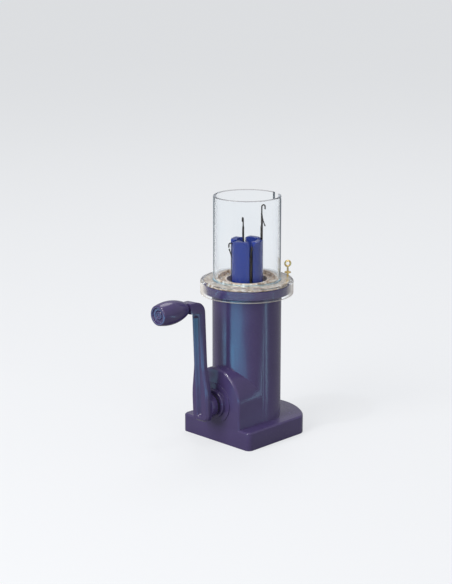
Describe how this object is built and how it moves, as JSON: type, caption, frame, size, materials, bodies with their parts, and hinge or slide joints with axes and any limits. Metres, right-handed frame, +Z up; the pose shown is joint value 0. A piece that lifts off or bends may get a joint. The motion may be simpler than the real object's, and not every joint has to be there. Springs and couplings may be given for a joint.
{
  "type": "knitting mill",
  "caption": "Hand-cranked knitting mill for round cord: latch needles stand round a hollow bed, lifted in turn by a cam drum under a clear tube.",
  "frame": {"origin": "on the column's axis in the plane of the base's underside, at the centre of the outlet for the cord", "axes": "+Z up along the column, -Y out of the front along the crank shaft, +X to the right seen from the front"},
  "size_m": [0.06, 0.1129, 0.157],
  "materials": {
    "indigo_shell": "glossy moulded plastic",
    "indigo_crank": "glossy moulded plastic",
    "blue_bed": "glossy moulded plastic",
    "beige_drum": "glossy moulded plastic",
    "clear_plastic": "clear polished plastic with a faint blue tint",
    "gear_plastic": "satin acetal",
    "bearing_plastic": "satin dark acetal",
    "screw_steel": "plated steel",
    "needle_steel": "dark polished steel",
    "brass_wire": "polished brass"
  },
  "bodies": {
    "frame": {"housing": "indigo_shell", "bottom_cover": "indigo_shell", "cover_screws": "screw_steel", "needle_bed": "blue_bed", "bed_screws": "screw_steel", "shaft_bush": "bearing_plastic", "thrust_washer": "bearing_plastic"},
    "rotor": {"cam_drum": "beige_drum", "ring_gear": "gear_plastic", "clear_cover": "clear_plastic", "yarn_guide": "brass_wire"},
    "crank": {"crank_arm": "indigo_crank", "crank_shaft": "screw_steel", "drive_gear": "gear_plastic", "gear_screw": "screw_steel", "knob_pin": "indigo_crank"},
    "knob_body": {"knob": "indigo_crank"},
    "needle_body_1": {"needle_1": "needle_steel", "latch_pin_1": "needle_steel"},
    "latch_body_1": {"latch_1": "needle_steel"},
    "needle_body_2": {"needle_2": "needle_steel", "latch_pin_2": "needle_steel"},
    "latch_body_2": {"latch_2": "needle_steel"},
    "needle_body_3": {"needle_3": "needle_steel", "latch_pin_3": "needle_steel"},
    "latch_body_3": {"latch_3": "needle_steel"},
    "needle_body_4": {"needle_4": "needle_steel", "latch_pin_4": "needle_steel"},
    "latch_body_4": {"latch_4": "needle_steel"}
  },
  "joints": [
    {"name": "rotor_turn", "type": "hinge", "parent": "frame", "child": "rotor", "pos_m": [0, 0, 0.07], "axis": [0, 0, 1], "continuous": true},
    {"name": "crank_turn", "type": "hinge", "parent": "frame", "child": "crank", "pos_m": [0, -0.03, 0.026], "axis": [0, -1, 0], "continuous": true},
    {"name": "knob_spin", "type": "hinge", "parent": "crank", "child": "knob_body", "pos_m": [-0.00299, -0.0615, 0.09193], "axis": [0, -1, 0], "continuous": true},
    {"name": "needle_1_slide", "type": "slide", "parent": "frame", "child": "needle_body_1", "axis": [0, 0, 1], "range_m": [0, 0.024]},
    {"name": "latch_1_swing", "type": "hinge", "parent": "needle_body_1", "child": "latch_body_1", "pos_m": [0.00858, -0.00524, 0.1168], "axis": [0.521, 0.8536, 0], "range_deg": [0, 138.5]},
    {"name": "needle_2_slide", "type": "slide", "parent": "frame", "child": "needle_body_2", "axis": [0, 0, 1], "range_m": [-0.024, 0]},
    {"name": "latch_2_swing", "type": "hinge", "parent": "needle_body_2", "child": "latch_body_2", "pos_m": [0.00524, 0.00858, 0.1408], "axis": [-0.8536, 0.521, 0], "range_deg": [-138.5, 0]},
    {"name": "needle_3_slide", "type": "slide", "parent": "frame", "child": "needle_body_3", "axis": [0, 0, 1], "range_m": [-0.01388, 0.01012]},
    {"name": "latch_3_swing", "type": "hinge", "parent": "needle_body_3", "child": "latch_body_3", "pos_m": [-0.00858, 0.00524, 0.13068], "axis": [-0.521, -0.8536, 0], "range_deg": [-138.5, 0]},
    {"name": "needle_4_slide", "type": "slide", "parent": "frame", "child": "needle_body_4", "axis": [0, 0, 1], "range_m": [-0.00059, 0.02341]},
    {"name": "latch_4_swing", "type": "hinge", "parent": "needle_body_4", "child": "latch_body_4", "pos_m": [-0.00524, -0.00858, 0.11739], "axis": [0.8536, -0.521, 0], "range_deg": [0, 138.5]}
  ],
  "couplings": [
    {"joint": "crank_turn", "follows": "rotor_turn", "ratio": -1}
  ]
}
